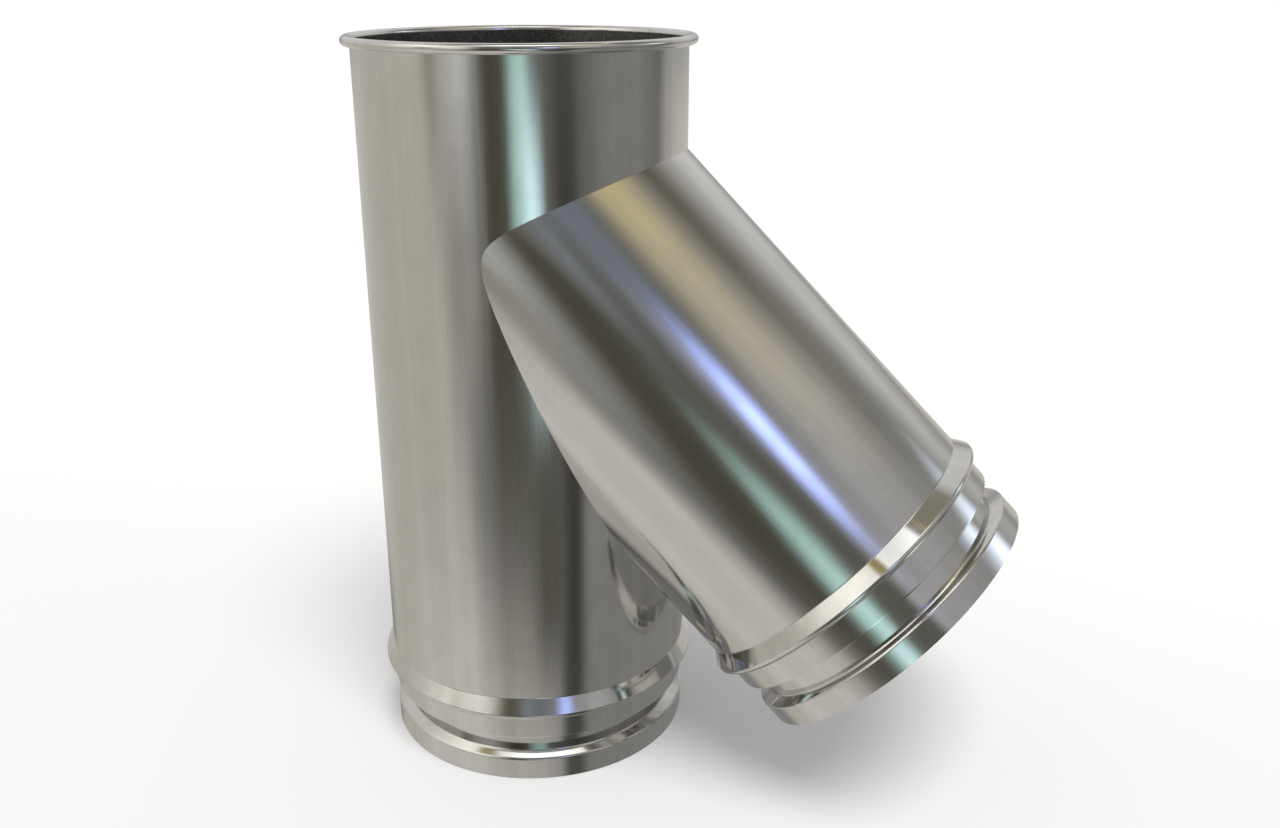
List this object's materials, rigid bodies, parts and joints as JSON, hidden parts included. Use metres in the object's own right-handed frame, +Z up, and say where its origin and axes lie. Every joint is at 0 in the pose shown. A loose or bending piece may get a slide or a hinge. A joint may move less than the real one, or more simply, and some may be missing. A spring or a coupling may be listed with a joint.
{
  "type": "oblique duct tee",
  "caption": "Stainless duct tee: straight run with a curled female top, a branch leaving at 45 degrees, and two male ends with stop bead and seal groove.",
  "frame": {"origin": "centre of the run's open male end, on the floor plane", "axes": "+Z up the run towards its female end, +X the way the branch leaves, Y across both ducts"},
  "size_m": [0.4193, 0.212, 0.456],
  "materials": {
    "duct_steel": "satin",
    "male_end_steel": "satin"
  },
  "bodies": {
    "root": {"run_duct": "duct_steel", "branch_duct": "duct_steel", "run_male_end": "male_end_steel", "branch_male_end": "male_end_steel"}
  },
  "joints": []
}
